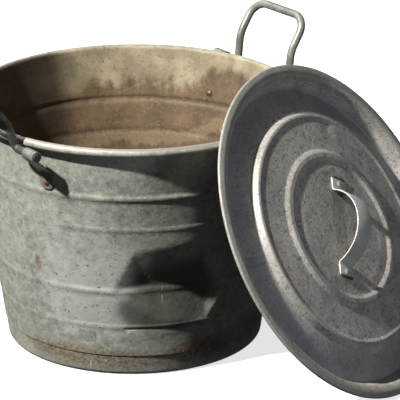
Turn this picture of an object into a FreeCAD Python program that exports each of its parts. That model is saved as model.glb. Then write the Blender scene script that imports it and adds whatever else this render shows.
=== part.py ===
import FreeCAD, Part
import math
import os

# Lidded boiling pot in galvanised sheet steel: a tapered pot with two swinging bails, and its
# pressed lid leaning against the rim.  Millimetres, +Z up, origin at the centre of the pot's base.

# --- Pot ------------------------------------------------------------------------------------
RIM_R = 210.0           # outside radius over the rolled rim
HEIGHT = 309.5          # floor to the top of the rolled rim
ROLL_R = 5.2            # outside radius of the rim's roll
SHEET = 1.0             # thickness of the wall, the bottom and the lid
FOOT_R = 161.0          # outside radius that the wall's taper would have at the base corner
BASE_CORNER_R = 7.0     # rounding between the bottom's flat and its skirt
WALL_FOOT_Z = 28.0      # lower edge of the wall, lapped over the bottom's skirt
SKIRT_TOP_Z = 60.0      # upper edge of the bottom's skirt, inside the wall
LAP_GAP = 0.05          # gap between sheets that lie on each other
ROLL_END = -140.0       # angle where the roll's edge meets the wall, degrees
# Swaged beads round the wall: height above the base, half width, how far they stand out.
BEADS = [(67.0, 4.0, 0.6), (115.0, 4.5, 1.0), (199.3, 4.0, 0.5), (241.0, 4.5, 1.3)]

# --- Bails and their ears ---------------------------------------------------------------------
BAIL_R = 5.0            # radius of the bail's rod
HINGE_U = 210.0         # distance of the hinge axis from the pot's axis
HINGE_Z = 298.0         # height of the hinge axis
LEG_V = 49.75           # half the distance between a bail's legs
ELBOW_R = 7.5           # bend from each leg into its outward-turned end
LEG_RISE = 36.4         # leg from the hinge to its kink
LEG_LEAN = 6.0          # outward lean of the leg below the kink, degrees
NECK_RISE = 46.4        # leg from the kink to the grip
NECK_LEAN = 33.0        # outward lean above the kink, degrees
KINK_R = 43.0           # bend radius at the kink
GRIP_CORNER_R = 22.0    # bend radius beside the grip
BAILS = {"right": (38.0, 0.0), "left": (216.0, 13.0)}    # azimuth, outward swing as it stands
EYE_GAP = 0.08          # running clearance round the rod in its eyes
EAR_SHEET = 1.6         # thickness of an ear
EYE_V = (72.0, 94.0)    # inner and outer end of each eye along the hinge axis
ROD_PROUD = 1.5         # how far the rod's end stands out of the eye
EAR_W = 17.0            # width of the leaf on the wall
EAR_FLAT_Z = 268.0      # height where the leaf comes to lie on the wall
WEB_ANGLE = -62.0       # where the web meets the eye, degrees from straight outwards
RIVET_Z = 254.5         # height of the ear's rivet
EAR_END_Z = 246.0       # lower end of the ear's leaf
EAR_CORNER_R = 7.0      # rounding of the leaf's lower corners

# --- Rivets -----------------------------------------------------------------------------------
SHANK_R = 2.4
HEAD_R = 4.2
HEAD_H = 2.2
TAIL_R = 3.6
TAIL_H = 1.2
BURR_R = 5.0
BURR_T = 0.9
SEAT_GAP = 0.1          # gap under a flat washer that lies in a curved wall

# --- Lid, in its own frame: radius from its axis, height above the flange -----------------------
LID_R = 212.6           # outside radius over the rolled edge
LID_ROLL_R = 2.2        # outside radius of the lid's rolled edge
LID_ROLL_H = -1.2       # height of the roll's centre
CHANNEL_H = -18.0       # channel floor, below the flange
PANEL_H = 7.4           # flat centre panel above the flange
# Upper face from the flange inwards: radius, height, rounding at that point.
LID_FACE = [(204.5, 2.2, 12.0), (197.4, 0.0, 3.0), (187.4, CHANNEL_H, 3.0), (160.0, -9.2, 3.0),
            (150.0, -5.0, 2.0), (147.0, 4.2, 2.0), (143.5, 4.8, 2.5), (139.5, 3.4, 2.5), (101.5, 5.4, 3.0),
            (96.0, 8.8, 3.5), (90.0, 9.2, 4.0), (85.0, 6.8, 3.0), (72.0, PANEL_H, 10.0)]
LID_AZIMUTH = -32.8     # direction that the lid's upper face looks
LID_TILT = 30.3         # how far that direction points above the horizontal, degrees
LID_FOOT_AZIMUTH = -31.5    # where the lid's lowest point stands, seen from the pot's axis
LID_FOOT_OUT = 392.2    # distance of that point from the pot's axis
LID_CLEAR = 0.3         # height of the lid's edge above the floor

# --- Lid strap handle ---------------------------------------------------------------------------
STRAP_T = 1.6
STRAP_W = 25.0
STRAP_TURN = -33.5      # turn of the strap from the lid's slope line, degrees
KNEE_X = 48.5           # half the span of the arch
FOOT_END_X = 66.5       # half the strap's overall length
STRAP_RIVET_X = 57.5
STRAP_H = 36.0          # height of the arch over the panel
TAB_CORNER_R = 5.0


def vec(x, y, z):
    return FreeCAD.Vector(x, y, z)


def in_rz(points):
    """Points of a turned section: radius along X, height along Z."""
    return [vec(r, 0, z) for r, z in points]


def rounded_chain(points, radii):
    """Straight runs through the points, joined at each inner point by a tangent arc."""
    edges = []
    start = points[0]
    for before, corner, after, radius in zip(points, points[1:], points[2:], radii):
        back = (before - corner).normalize()
        ahead = (after - corner).normalize()
        half_angle = back.getAngle(ahead) / 2
        reach = radius / math.tan(half_angle)
        middle = (back + ahead).normalize()
        centre = corner + middle * (radius / math.sin(half_angle))
        arc_start = corner + back * reach
        arc_end = corner + ahead * reach
        edges.append(Part.LineSegment(start, arc_start).toShape())
        edges.append(Part.Arc(arc_start, centre - middle * radius, arc_end).toShape())
        start = arc_end
    edges.append(Part.LineSegment(start, points[-1]).toShape())
    return edges


def offset_corners(points, radii, distance):
    """Corners and roundings of a chain that runs at a distance on the right-hand side."""
    normals = []
    for a, b in zip(points, points[1:]):
        run = (b - a).normalize()
        normals.append(vec(run.z, 0, -run.x))
    corners = [points[0] + normals[0] * distance]
    new_radii = []
    for corner, radius, n1, n2 in zip(points[1:], radii, normals, normals[1:]):
        corners.append(corner + (n1 + n2) * (distance / (1 + n1.dot(n2))))
        turns_right = n1.x * n2.z - n1.z * n2.x < 0
        new_radii.append(radius - distance if turns_right else radius + distance)
    corners.append(points[-1] + normals[-1] * distance)
    return corners, new_radii


def turned(edges):
    """Solid of revolution about Z from a closed chain of edges in the XZ plane."""
    face = Part.Face(Part.Wire(Part.__sortEdges__(edges)))
    return face.revolve(vec(0, 0, 0), vec(0, 0, 1), 360)


def turned_sheet(points, radii, thickness):
    """Sheet of revolution: the chain of points is one face, the other is offset from it."""
    other, other_radii = offset_corners(points, radii, thickness)
    edges = rounded_chain(points, radii) + rounded_chain(other, other_radii)
    edges.append(Part.LineSegment(points[0], other[0]).toShape())
    if points[-1].x > 1e-6 or other[-1].x > 1e-6:
        edges.append(Part.LineSegment(points[-1], other[-1]).toShape())
    else:
        edges.append(Part.LineSegment(vec(0, 0, points[-1].z), vec(0, 0, other[-1].z)).toShape())
    return turned(edges)


def arc_about(centre, radius, start_deg, end_deg):
    """Arc in the XZ plane, given by the angles of its ends from +X towards +Z."""
    angles = [start_deg, (start_deg + end_deg) / 2, end_deg]
    ends = [centre + vec(math.cos(math.radians(a)), 0, math.sin(math.radians(a))) * radius
            for a in angles]
    return Part.Arc(*ends).toShape(), ends[0], ends[2]


def wall_r(z):
    """Outside radius of the plain tapered wall at a height."""
    top_z = HEIGHT - ROLL_R
    top_r = RIM_R - 2 * ROLL_R + SHEET
    return FOOT_R + (top_r - FOOT_R) * (z - BASE_CORNER_R) / (top_z - BASE_CORNER_R)


TAPER = math.atan((wall_r(300.0) - wall_r(0.0)) / 300.0)


def wall_face(offset):
    """One face of the wall from its foot to the roll, with the beads as shallow arcs."""
    edges = []
    start = vec(wall_r(WALL_FOOT_Z) + offset, 0, WALL_FOOT_Z)
    for z, half, proud in BEADS:
        low = vec(wall_r(z - half) + offset, 0, z - half)
        crest = vec(wall_r(z) + offset + proud, 0, z)
        high = vec(wall_r(z + half) + offset, 0, z + half)
        edges.append(Part.LineSegment(start, low).toShape())
        edges.append(Part.Arc(low, crest, high).toShape())
        start = high
    top = vec(wall_r(HEIGHT - ROLL_R) + offset, 0, HEIGHT - ROLL_R)
    edges.append(Part.LineSegment(start, top).toShape())
    return edges


def make_wall():
    """Tapered wall whose top is rolled outwards, round the rim wire."""
    centre = vec(RIM_R - ROLL_R, 0, HEIGHT - ROLL_R)
    outer_roll, _, outer_end = arc_about(centre, ROLL_R, 180.0, ROLL_END)
    inner_roll, _, inner_end = arc_about(centre, ROLL_R - SHEET, 180.0, ROLL_END)
    foot_out = vec(wall_r(WALL_FOOT_Z), 0, WALL_FOOT_Z)
    foot_in = foot_out - vec(SHEET, 0, 0)
    edges = wall_face(0.0) + wall_face(-SHEET)
    edges += [outer_roll, inner_roll]
    edges.append(Part.LineSegment(outer_end, inner_end).toShape())
    edges.append(Part.LineSegment(foot_out, foot_in).toShape())
    return turned(edges)


def make_bottom():
    """Pan with a flat bottom and a skirt that stands inside the wall."""
    inside = SHEET + LAP_GAP
    points = in_rz([(wall_r(SKIRT_TOP_Z) - inside, SKIRT_TOP_Z), (wall_r(0.0) - inside, 0.0), (0.0, 0.0)])
    return turned_sheet(points, [BASE_CORNER_R], SHEET)


def ring_wire(ring_r, z, radius):
    return Part.makeTorus(ring_r, radius, vec(0, 0, z), vec(0, 0, 1))


def spun(shape, degrees):
    """Copy of a shape turned about the pot's axis."""
    copy = shape.copy()
    copy.rotate(vec(0, 0, 0), vec(0, 0, 1), degrees)
    return copy


def make_bail():
    """Rod bent into a bail, in a frame whose X points out from the pot and Y runs along the hinge."""
    knee_x = LEG_RISE * math.sin(math.radians(LEG_LEAN))
    knee_z = LEG_RISE * math.cos(math.radians(LEG_LEAN))
    grip_x = knee_x + NECK_RISE * math.sin(math.radians(NECK_LEAN))
    grip_z = knee_z + NECK_RISE * math.cos(math.radians(NECK_LEAN))
    end_v = EYE_V[1] + ROD_PROUD
    half = [vec(0, end_v, 0), vec(0, LEG_V, 0), vec(knee_x, LEG_V, knee_z), vec(grip_x, LEG_V, grip_z)]
    other_half = [vec(p.x, -p.y, p.z) for p in reversed(half)]
    radii = [ELBOW_R, KINK_R, GRIP_CORNER_R, GRIP_CORNER_R, KINK_R, ELBOW_R]
    path = Part.Wire(rounded_chain(half + other_half, radii))
    section = Part.Wire(Part.makeCircle(BAIL_R, half[0], vec(0, -1, 0)))
    rod = path.makePipeShell([section], True, False)
    rod.translate(vec(HINGE_U, 0, HINGE_Z))
    return rod


def swung(shape, degrees):
    """Bail swung outwards about its hinge axis."""
    copy = shape.copy()
    copy.rotate(vec(HINGE_U, 0, HINGE_Z), vec(0, 1, 0), degrees)
    return copy


def wall_frame(offset, z):
    """Point on the wall at azimuth 0, with the wall's outward normal and its upward slope line."""
    normal = vec(math.cos(TAPER), 0, -math.sin(TAPER))
    slope = vec(math.sin(TAPER), 0, math.cos(TAPER))
    return vec(wall_r(z), 0, z) + normal * offset, normal, slope


def turned_about_z(point, degrees):
    angle = math.radians(degrees)
    return vec(point.x * math.cos(angle) - point.y * math.sin(angle),
               point.x * math.sin(angle) + point.y * math.cos(angle), point.z)


def plate_section(middle, along, across, width, thickness):
    """Closed rectangle round a middle point, for the ends of the ear's web."""
    a = along * (width / 2)
    t = across * (thickness / 2)
    corners = [middle - a - t, middle + a - t, middle + a + t, middle - a + t]
    return Part.makePolygon(corners + corners[:1])


def ear_azimuth():
    """Angle between the bail's centre line and the middle of an ear's leaf."""
    middle_v = (EYE_V[0] + EYE_V[1]) / 2
    return math.degrees(math.atan2(middle_v, HINGE_U))


def make_leaf():
    """Flat of the ear on the wall, at azimuth 0: a curved plate with a rounded lower end."""
    centre, normal, slope = wall_frame(0.0, RIVET_Z)
    half = EAR_W / 2
    low = (EAR_END_Z - RIVET_Z) / math.cos(TAPER)
    high = (EAR_FLAT_Z - RIVET_Z) / math.cos(TAPER)
    outline = [(half, high), (half, low), (-half, low), (-half, high)]
    depth = 12.0
    points = [centre - normal * depth + vec(0, y, 0) + slope * s for y, s in outline]
    edges = rounded_chain(points, [EAR_CORNER_R, EAR_CORNER_R])
    edges.append(Part.LineSegment(points[-1], points[0]).toShape())
    prism = Part.Face(Part.Wire(edges)).extrude(normal * (2 * depth))
    low_z = EAR_END_Z - EAR_W
    high_z = EAR_FLAT_Z + EAR_W
    gap = LAP_GAP / math.cos(TAPER)
    thick = EAR_SHEET / math.cos(TAPER)
    rings = []
    for inside in (gap, gap + thick):
        rings.append(Part.makeCone(wall_r(low_z) + inside, wall_r(high_z) + inside, high_z - low_z,
                                   vec(0, 0, low_z)))
    return prism.common(rings[1].cut(rings[0]))


def placed(shape, origin, x_axis, z_axis):
    """Copy of a shape moved from its own frame to a frame given by its origin and two axes."""
    y_axis = z_axis.cross(x_axis)
    matrix = FreeCAD.Matrix(x_axis.x, y_axis.x, z_axis.x, origin.x,
                            x_axis.y, y_axis.y, z_axis.y, origin.y,
                            x_axis.z, y_axis.z, z_axis.z, origin.z, 0, 0, 0, 1)
    copy = shape.copy()
    copy.Placement = FreeCAD.Placement(matrix).multiply(shape.Placement)
    return copy


def on_ear(shape, azimuth):
    """Fastener placed on an ear: its own Z along the wall's normal, 0 at the leaf's outer face."""
    origin, normal, slope = wall_frame(2 * LAP_GAP + EAR_SHEET, RIVET_Z)
    return spun(placed(shape, origin, slope, normal), azimuth)


def rivet_hole(azimuth):
    """Drill for an ear's rivet, through leaf and wall."""
    return on_ear(Part.makeCylinder(SHANK_R + LAP_GAP, 20, vec(0, 0, -10)), azimuth)


def make_ear(side):
    """Ear of a bail at azimuth 0: leaf on the wall, sloping web, and eye round the rod's end."""
    azimuth = -ear_azimuth()
    eye_r = BAIL_R + EYE_GAP + EAR_SHEET
    length = EYE_V[1] - EYE_V[0]
    eye = Part.makeCylinder(eye_r, length, vec(HINGE_U, -EYE_V[1], HINGE_Z), vec(0, 1, 0))
    bore_start = vec(HINGE_U, -EYE_V[1] - 1, HINGE_Z)
    bore = Part.makeCylinder(BAIL_R + EYE_GAP, length + 2, bore_start, vec(0, 1, 0))
    on_wall, normal, _ = wall_frame(LAP_GAP + EAR_SHEET / 2, EAR_FLAT_Z - 0.5)
    on_wall = turned_about_z(on_wall, azimuth)
    normal = turned_about_z(normal, azimuth)
    tangent = turned_about_z(vec(0, 1, 0), azimuth)
    web_angle = math.radians(WEB_ANGLE)
    outwards = vec(math.cos(web_angle), 0, math.sin(web_angle))
    eye_middle = vec(HINGE_U, -(EYE_V[0] + EYE_V[1]) / 2, HINGE_Z)
    at_eye = eye_middle + outwards * (eye_r - EAR_SHEET / 2)
    sections = [plate_section(on_wall, tangent, normal, EAR_W, EAR_SHEET),
                plate_section(at_eye, vec(0, 1, 0), outwards, length, EAR_SHEET)]
    web = Part.makeLoft(sections, True, True)
    ear = spun(make_leaf(), azimuth).fuse([web, eye]).cut(bore).cut(rivet_hole(azimuth))
    return ear.mirror(vec(0, 0, 0), vec(0, 1, 0)) if side > 0 else ear


def dome_arc(base_r, base_z, rise):
    """Arc of a domed end, from its rim to the Z axis, about a centre on that axis."""
    sphere_r = (base_r ** 2 + rise ** 2) / (2 * abs(rise))
    half_angle = math.asin(base_r / sphere_r) / 2
    way = math.copysign(1.0, rise)
    middle_z = base_z + rise - way * sphere_r * (1 - math.cos(half_angle))
    middle = vec(sphere_r * math.sin(half_angle), 0, middle_z)
    return Part.Arc(vec(base_r, 0, base_z), middle, vec(0, 0, base_z + rise)).toShape()


def rivet_section(grip):
    """Edges of a rivet about Z: the head sits at height 0, the tail below the grip's end."""
    head = dome_arc(HEAD_R, 0.0, HEAD_H)
    tail = dome_arc(TAIL_R, -grip, -TAIL_H)
    runs = [(vec(HEAD_R, 0, 0), vec(SHANK_R, 0, 0)), (vec(SHANK_R, 0, 0), vec(SHANK_R, 0, -grip)),
            (vec(SHANK_R, 0, -grip), vec(TAIL_R, 0, -grip)),
            (vec(0, 0, -grip - TAIL_H), vec(0, 0, HEAD_H))]
    return [head, tail] + [Part.LineSegment(a, b).toShape() for a, b in runs]


def make_rivet(grip):
    return turned(rivet_section(grip))


def make_burr(top):
    """Washer under a rivet's tail, with its upper face at a height."""
    disc = Part.makeCylinder(BURR_R, BURR_T, vec(0, 0, top - BURR_T))
    return disc.cut(Part.makeCylinder(SHANK_R + LAP_GAP, BURR_T + 2, vec(0, 0, top - BURR_T - 1)))


def lid_profile_points():
    flange_start = vec(LID_R - LID_ROLL_R, 0, LID_ROLL_H + LID_ROLL_R)
    return [flange_start] + in_rz([(r, h) for r, h, _ in LID_FACE]) + in_rz([(0.0, PANEL_H)])


def make_lid_panel():
    """Pressed lid: rolled edge, flange, channel, two raised rings and the flat centre."""
    top = lid_profile_points()
    radii = [r for _, _, r in LID_FACE]
    under, under_radii = offset_corners(top, radii, -SHEET)
    under[-1] = vec(0, 0, PANEL_H - SHEET)
    centre = vec(LID_R - LID_ROLL_R, 0, LID_ROLL_H)
    outer_roll, _, outer_end = arc_about(centre, LID_ROLL_R, 90.0, -170.0)
    inner_roll, inner_start, inner_end = arc_about(centre, LID_ROLL_R - SHEET, 90.0, -170.0)
    under[0] = inner_start
    edges = rounded_chain(top, radii) + rounded_chain(under, under_radii)
    edges += [outer_roll, inner_roll, Part.LineSegment(outer_end, inner_end).toShape()]
    edges.append(Part.LineSegment(top[-1], under[-1]).toShape())
    return turned(edges)


def make_strap():
    """Strip bent into an arch with two foot tabs, along X, lying on the centre panel."""
    base = PANEL_H + LAP_GAP
    arch_r = (KNEE_X ** 2 + STRAP_H ** 2) / (2 * STRAP_H)
    leave = math.asin(KNEE_X / arch_r)
    inner_r = arch_r - STRAP_T
    centre_z = base + STRAP_H - arch_r
    outer = Part.makeCylinder(arch_r, STRAP_W, vec(0, STRAP_W / 2, centre_z), vec(0, -1, 0))
    inner = Part.makeCylinder(inner_r, STRAP_W + 2, vec(0, STRAP_W / 2 + 1, centre_z), vec(0, -1, 0))
    floor = Part.makeBox(4 * KNEE_X, STRAP_W + 4, 4 * KNEE_X,
                         vec(-2 * KNEE_X, -STRAP_W / 2 - 2, base - 4 * KNEE_X))
    arch = outer.cut(inner).cut(floor)
    inside_x = KNEE_X - STRAP_T / math.sin(leave)
    tabs = []
    for end in (-1, 1):
        outline = [vec(end * inside_x, -STRAP_W / 2, base), vec(end * FOOT_END_X, -STRAP_W / 2, base),
                   vec(end * FOOT_END_X, STRAP_W / 2, base), vec(end * inside_x, STRAP_W / 2, base)]
        edges = rounded_chain(outline, [TAB_CORNER_R, TAB_CORNER_R])
        edges.append(Part.LineSegment(outline[-1], outline[0]).toShape())
        tab = Part.Face(Part.Wire(edges)).extrude(vec(0, 0, STRAP_T))
        hole = Part.makeCylinder(SHANK_R + LAP_GAP, STRAP_T + 2, vec(end * STRAP_RIVET_X, 0, base - 1))
        tabs.append(tab.cut(hole))
    return arch.fuse(tabs).removeSplitter()


def lid_frame():
    """Centre of the lid's flange plane, its slope line and its outward normal, as it leans."""
    azimuth = math.radians(LID_AZIMUTH)
    tilt = math.radians(LID_TILT)
    normal = vec(math.cos(tilt) * math.cos(azimuth), math.cos(tilt) * math.sin(azimuth), math.sin(tilt))
    slope = vec(-math.sin(tilt) * math.cos(azimuth), -math.sin(tilt) * math.sin(azimuth), math.cos(tilt))
    foot_angle = math.radians(LID_FOOT_AZIMUTH)
    foot = vec(math.cos(foot_angle), math.sin(foot_angle), 0) * LID_FOOT_OUT
    roll_centre = foot + vec(0, 0, LID_CLEAR + LID_ROLL_R)
    return roll_centre + slope * (LID_R - LID_ROLL_R) - normal * LID_ROLL_H, slope, normal


def build():
    nodes = {}
    wall = make_wall()
    nodes["pot_bottom"] = make_bottom()
    nodes["rim_wire"] = ring_wire(RIM_R - ROLL_R, HEIGHT - ROLL_R, ROLL_R - SHEET - LAP_GAP)
    grip = EAR_SHEET + 2 * LAP_GAP + SHEET + SEAT_GAP + BURR_T + LAP_GAP
    bail = make_bail()
    for name, (azimuth, swing) in BAILS.items():
        nodes["bail_" + name] = spun(swung(bail, swing), azimuth)
        for side in (1, -1):
            # Of a bail's two ears, the one further towards +Y is the rear one.
            at = azimuth + side * ear_azimuth()
            is_rear = math.sin(math.radians(at)) > math.sin(math.radians(azimuth))
            label = name + ("_rear" if is_rear else "_front")
            nodes["ear_" + label] = spun(make_ear(side), azimuth)
            wall = wall.cut(rivet_hole(at))
            nodes["ear_rivet_" + label] = on_ear(make_rivet(grip), at)
            nodes["ear_burr_" + label] = on_ear(make_burr(-grip + BURR_T + LAP_GAP), at)
    nodes["pot_wall"] = wall

    centre, slope, normal = lid_frame()
    lid_panel = make_lid_panel()
    lid_grip = STRAP_T + 2 * LAP_GAP + SHEET + LAP_GAP + BURR_T + LAP_GAP
    strap_turn = math.radians(STRAP_TURN)
    lid_parts = {"lid_edge_wire": ring_wire(LID_R - LID_ROLL_R, LID_ROLL_H, LID_ROLL_R - SHEET - LAP_GAP)}
    strap = make_strap()
    strap.rotate(vec(0, 0, 0), vec(0, 0, 1), STRAP_TURN)
    lid_parts["lid_strap"] = strap
    for end, name in ((1, "upper"), (-1, "lower")):
        x = end * STRAP_RIVET_X * math.cos(strap_turn)
        y = end * STRAP_RIVET_X * math.sin(strap_turn)
        lid_panel = lid_panel.cut(Part.makeCylinder(SHANK_R + LAP_GAP, 20, vec(x, y, 0)))
        seat = vec(x, y, PANEL_H + STRAP_T + 2 * LAP_GAP)
        rivet = make_rivet(lid_grip)
        rivet.translate(seat)
        burr = make_burr(-lid_grip + BURR_T + LAP_GAP)
        burr.translate(seat)
        lid_parts["lid_rivet_" + name] = rivet
        lid_parts["lid_burr_" + name] = burr
    lid_parts["lid_panel"] = lid_panel
    for name, shape in lid_parts.items():
        nodes[name] = placed(shape, centre, slope, normal)
    return nodes


def main():
    os.makedirs("parts", exist_ok=True)
    nodes = build()
    for name, shape in sorted(nodes.items()):
        box = shape.BoundBox
        print("%-22s %d solid, %9.1f mm3, x %.1f..%.1f y %.1f..%.1f z %.1f..%.1f valid %s" % (
            name, len(shape.Solids), shape.Volume, box.XMin, box.XMax, box.YMin, box.YMax,
            box.ZMin, box.ZMax, shape.isValid()))
        shape.exportStep("parts/" + name + ".step")
    centre, slope, normal = lid_frame()
    print("lid centre", centre, "normal", normal)


main()
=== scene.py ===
# %% [markdown]
# # A galvanised boiling pot and its lid
# The real pot is rolled from thin steel sheet, dipped in zinc and used outdoors for years.  Its form comes
# from a few workshop operations: a tapered wall, swaged beads, an edge rolled round a wire, a pressed lid.
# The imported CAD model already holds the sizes, the joints and the collision.  This lesson adds what a CAD
# solid doesn't carry: the dents and the uneven sheet, soft edges, and a finish that tells the pot's age.

# %% Load the fixed frame
import math

import bmesh
import bpy
import numpy as np
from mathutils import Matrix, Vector


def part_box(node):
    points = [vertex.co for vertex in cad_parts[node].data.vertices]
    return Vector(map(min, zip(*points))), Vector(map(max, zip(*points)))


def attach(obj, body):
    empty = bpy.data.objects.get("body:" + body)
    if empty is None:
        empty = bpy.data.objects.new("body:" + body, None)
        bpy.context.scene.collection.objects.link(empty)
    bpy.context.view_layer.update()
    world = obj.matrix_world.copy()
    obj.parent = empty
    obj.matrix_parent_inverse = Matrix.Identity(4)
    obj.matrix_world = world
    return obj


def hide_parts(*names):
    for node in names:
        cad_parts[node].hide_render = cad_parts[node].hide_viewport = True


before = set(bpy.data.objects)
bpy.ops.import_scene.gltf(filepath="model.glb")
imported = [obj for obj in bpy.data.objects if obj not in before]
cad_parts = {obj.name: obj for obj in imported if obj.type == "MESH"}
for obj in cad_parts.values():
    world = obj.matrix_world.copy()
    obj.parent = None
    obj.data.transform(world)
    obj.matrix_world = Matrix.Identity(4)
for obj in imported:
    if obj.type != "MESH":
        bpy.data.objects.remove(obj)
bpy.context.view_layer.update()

# %% [markdown]
# ## Where the viewer stands
# A long lens from about four metres away keeps circles looking like clean ellipses.  The camera is set by
# its distance, its height and two angles, so each can be understood on its own.

# %% Camera
CAMERA_BACK = 4.108         # metres in front of the pot's axis
CAMERA_UP = 1.684           # metres above the floor
LOOK_DOWN = 20.23           # degrees below the horizontal
LOOK_RIGHT = 1.152          # degrees towards +X
SENSOR = 36.0
LENS = 315.0

camera_data = bpy.data.cameras.new("camera")
camera_data.sensor_width = SENSOR
camera_data.lens = LENS
camera = bpy.data.objects.new("camera", camera_data)
camera.location = (0.0, -CAMERA_BACK, CAMERA_UP)
camera.rotation_euler = (math.radians(90.0 - LOOK_DOWN), 0.0, -math.radians(LOOK_RIGHT))
bpy.context.scene.collection.objects.link(camera)
bpy.context.scene.camera = camera
print("field of view", round(math.degrees(camera_data.angle), 2), "degrees")

# %% [markdown]
# ## Light
# One small main lamp stands high at the left and in front.  It rakes across the lid, so the pressed rings
# and the strap throw shadows that show their height.  A weaker, much larger lamp behind keeps the far side
# readable.  A low bluish one at the right looks straight at the lid and fills its shadows, and the lid
# hides the pot from it.  A dim grey world stands in for the rest of the room.  A lamp's power is worked out
# from the brightness wanted at the pot: irradiance = power / (pi * distance^2).

# %% Lamps
def direction(azimuth, elevation):
    """Unit vector from two angles in degrees: azimuth about Z from +X, elevation above the floor."""
    a, e = math.radians(azimuth), math.radians(elevation)
    return Vector((math.cos(e) * math.cos(a), math.cos(e) * math.sin(a), math.sin(e)))


def add_lamp(name, azimuth, elevation, distance, size, irradiance, aim, tint):
    """Square lamp that looks at the aim point, with its power set for an irradiance there."""
    data = bpy.data.lights.new(name, "AREA")
    data.size = size
    data.energy = irradiance * math.pi * distance ** 2
    data.color = tint
    lamp = bpy.data.objects.new(name, data)
    towards = direction(azimuth, elevation)
    lamp.location = aim + towards * distance
    lamp.rotation_euler = towards.to_track_quat("Z", "Y").to_euler()
    bpy.context.scene.collection.objects.link(lamp)
    return lamp


AIM = Vector((0.05, -0.03, 0.15))
main_lamp = add_lamp("main_lamp", 215.0, 48.0, 3.4, 0.12, 6.5, AIM, (1.0, 0.985, 0.955))
back_lamp = add_lamp("back_lamp", 132.0, 38.0, 2.8, 2.0, 1.3, AIM, (0.95, 0.975, 1.0))
sky_lamp = add_lamp("sky_lamp", -42.0, 5.0, 3.2, 0.6, 0.42, AIM, (0.82, 0.89, 1.0))

world = bpy.data.worlds.new("dim_room")
world.use_nodes = True
world.node_tree.nodes["Background"].inputs["Color"].default_value = (0.93, 0.96, 1.0, 1.0)
world.node_tree.nodes["Background"].inputs["Strength"].default_value = 0.05
bpy.context.scene.world = world
bpy.context.scene.view_settings.view_transform = "Standard"
for lamp in (main_lamp, back_lamp, sky_lamp):
    print(lamp.name, "power", round(lamp.data.energy, 1), "W")

# %% [markdown]
# ## Grids of points
# Nearly every piece here is a surface with two parameters, such as the angle round the pot and the way
# along its section.  Numpy works out all the points at once, and one function turns any such grid into a
# mesh.  Building it in edit mode by hand would give the same shape, but a formula can be measured and
# changed.

# %% From a grid to a mesh
MM = 0.001


def grid_quads(rows, columns):
    """Corner numbers of the quads of a grid that closes on itself both ways."""
    i = np.arange(rows)[:, None]
    j = np.arange(columns)[None, :]
    i_next = (i + 1) % rows
    j_next = (j + 1) % columns
    corners = [i * columns + j, i_next * columns + j, i_next * columns + j_next, i * columns + j_next]
    return np.stack(corners, axis=-1).reshape(-1, 4)


def enclosed_volume(points, quads):
    """Sum of the tetrahedra from the origin to each half quad: positive when the faces look outwards."""
    a, b, c, d = (points[quads[:, k]] for k in range(4))
    first = np.einsum("ij,ij->i", a, np.cross(b, c))
    second = np.einsum("ij,ij->i", a, np.cross(c, d))
    return float((first + second).sum() / 6.0)


def skin(name, grid, masks=None, sharp_angle=40.0):
    """Closed mesh over a grid of points (rows, columns, xyz): poles merged, faces outwards, smooth."""
    points = grid.reshape(-1, 3)
    quads = grid_quads(*grid.shape[:2])
    if enclosed_volume(points, quads) < 0:
        quads = quads[:, ::-1]
    mesh = bpy.data.meshes.new(name)
    mesh.from_pydata(points.tolist(), [], quads.tolist())
    for mask_name, values in (masks or {}).items():
        layer = mesh.attributes.new(mask_name, "FLOAT", "POINT")
        layer.data.foreach_set("value", np.ascontiguousarray(values, dtype=np.float32).ravel())
    work = bmesh.new()
    work.from_mesh(mesh)
    bmesh.ops.remove_doubles(work, verts=work.verts, dist=1e-7)
    bmesh.ops.dissolve_degenerate(work, edges=work.edges, dist=1e-8)
    work.to_mesh(mesh)
    work.free()
    mesh.shade_smooth()
    mesh.set_sharp_from_angle(angle=math.radians(sharp_angle))
    piece = bpy.data.objects.new(name, mesh)
    bpy.context.scene.collection.objects.link(piece)
    triangles = sum(len(p.vertices) - 2 for p in mesh.polygons)
    print(name, len(mesh.vertices), "points", triangles, "triangles")
    return piece


# %% Sections: arcs, rounded corners and sheet thickness
def arc(centre, radius, start, end, count):
    """Points at evenly spaced angles (degrees) on a circle: centre + radius * (cosine, sine)."""
    angle = np.radians(np.linspace(start, end, count))
    return np.array(centre) + radius * np.stack([np.cos(angle), np.sin(angle)], axis=1)


def filled_in(points, step):
    """The same line with extra points, so that no run between two of them is longer than a step."""
    lengths = np.hypot(*np.diff(points, axis=0).T)
    counts = np.maximum(1, np.ceil(lengths / step).astype(int))
    runs = [np.linspace(a, b, n, endpoint=False) for a, b, n in zip(points, points[1:], counts)]
    return np.concatenate(runs + [points[-1:]])


def rounded_line(corners, radii, arc_points=7):
    """Straight runs whose corners are tangent arcs.  An arc's centre is on the corner's bisector, at
    radius / sin(half angle); its points turn evenly from one tangent point to the other."""
    corners = np.array(corners, float)
    parts = [corners[:1]]
    for before, corner, after, radius in zip(corners, corners[1:], corners[2:], radii):
        back = (before - corner) / np.linalg.norm(before - corner)
        ahead = (after - corner) / np.linalg.norm(after - corner)
        half = np.arccos(np.clip(back @ ahead, -1.0, 1.0)) / 2
        bisector = (back + ahead) / np.linalg.norm(back + ahead)
        centre = corner + bisector * radius / np.sin(half)
        first = corner + back * radius / np.tan(half) - centre
        last = corner + ahead * radius / np.tan(half) - centre
        turn = np.pi - 2 * half
        t = np.linspace(0.0, 1.0, arc_points)[:, None]
        parts.append(centre + (np.sin((1 - t) * turn) * first + np.sin(t * turn) * last) / np.sin(turn))
    parts.append(corners[-1:])
    return np.concatenate(parts)


def moved_sideways(points, distance):
    """Offset line: every point moves along its tangent turned a quarter turn to the left."""
    tangent = np.gradient(points, axis=0)
    tangent /= np.linalg.norm(tangent, axis=1, keepdims=True)
    return points + distance * np.stack([-tangent[:, 1], tangent[:, 0]], axis=1)


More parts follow.
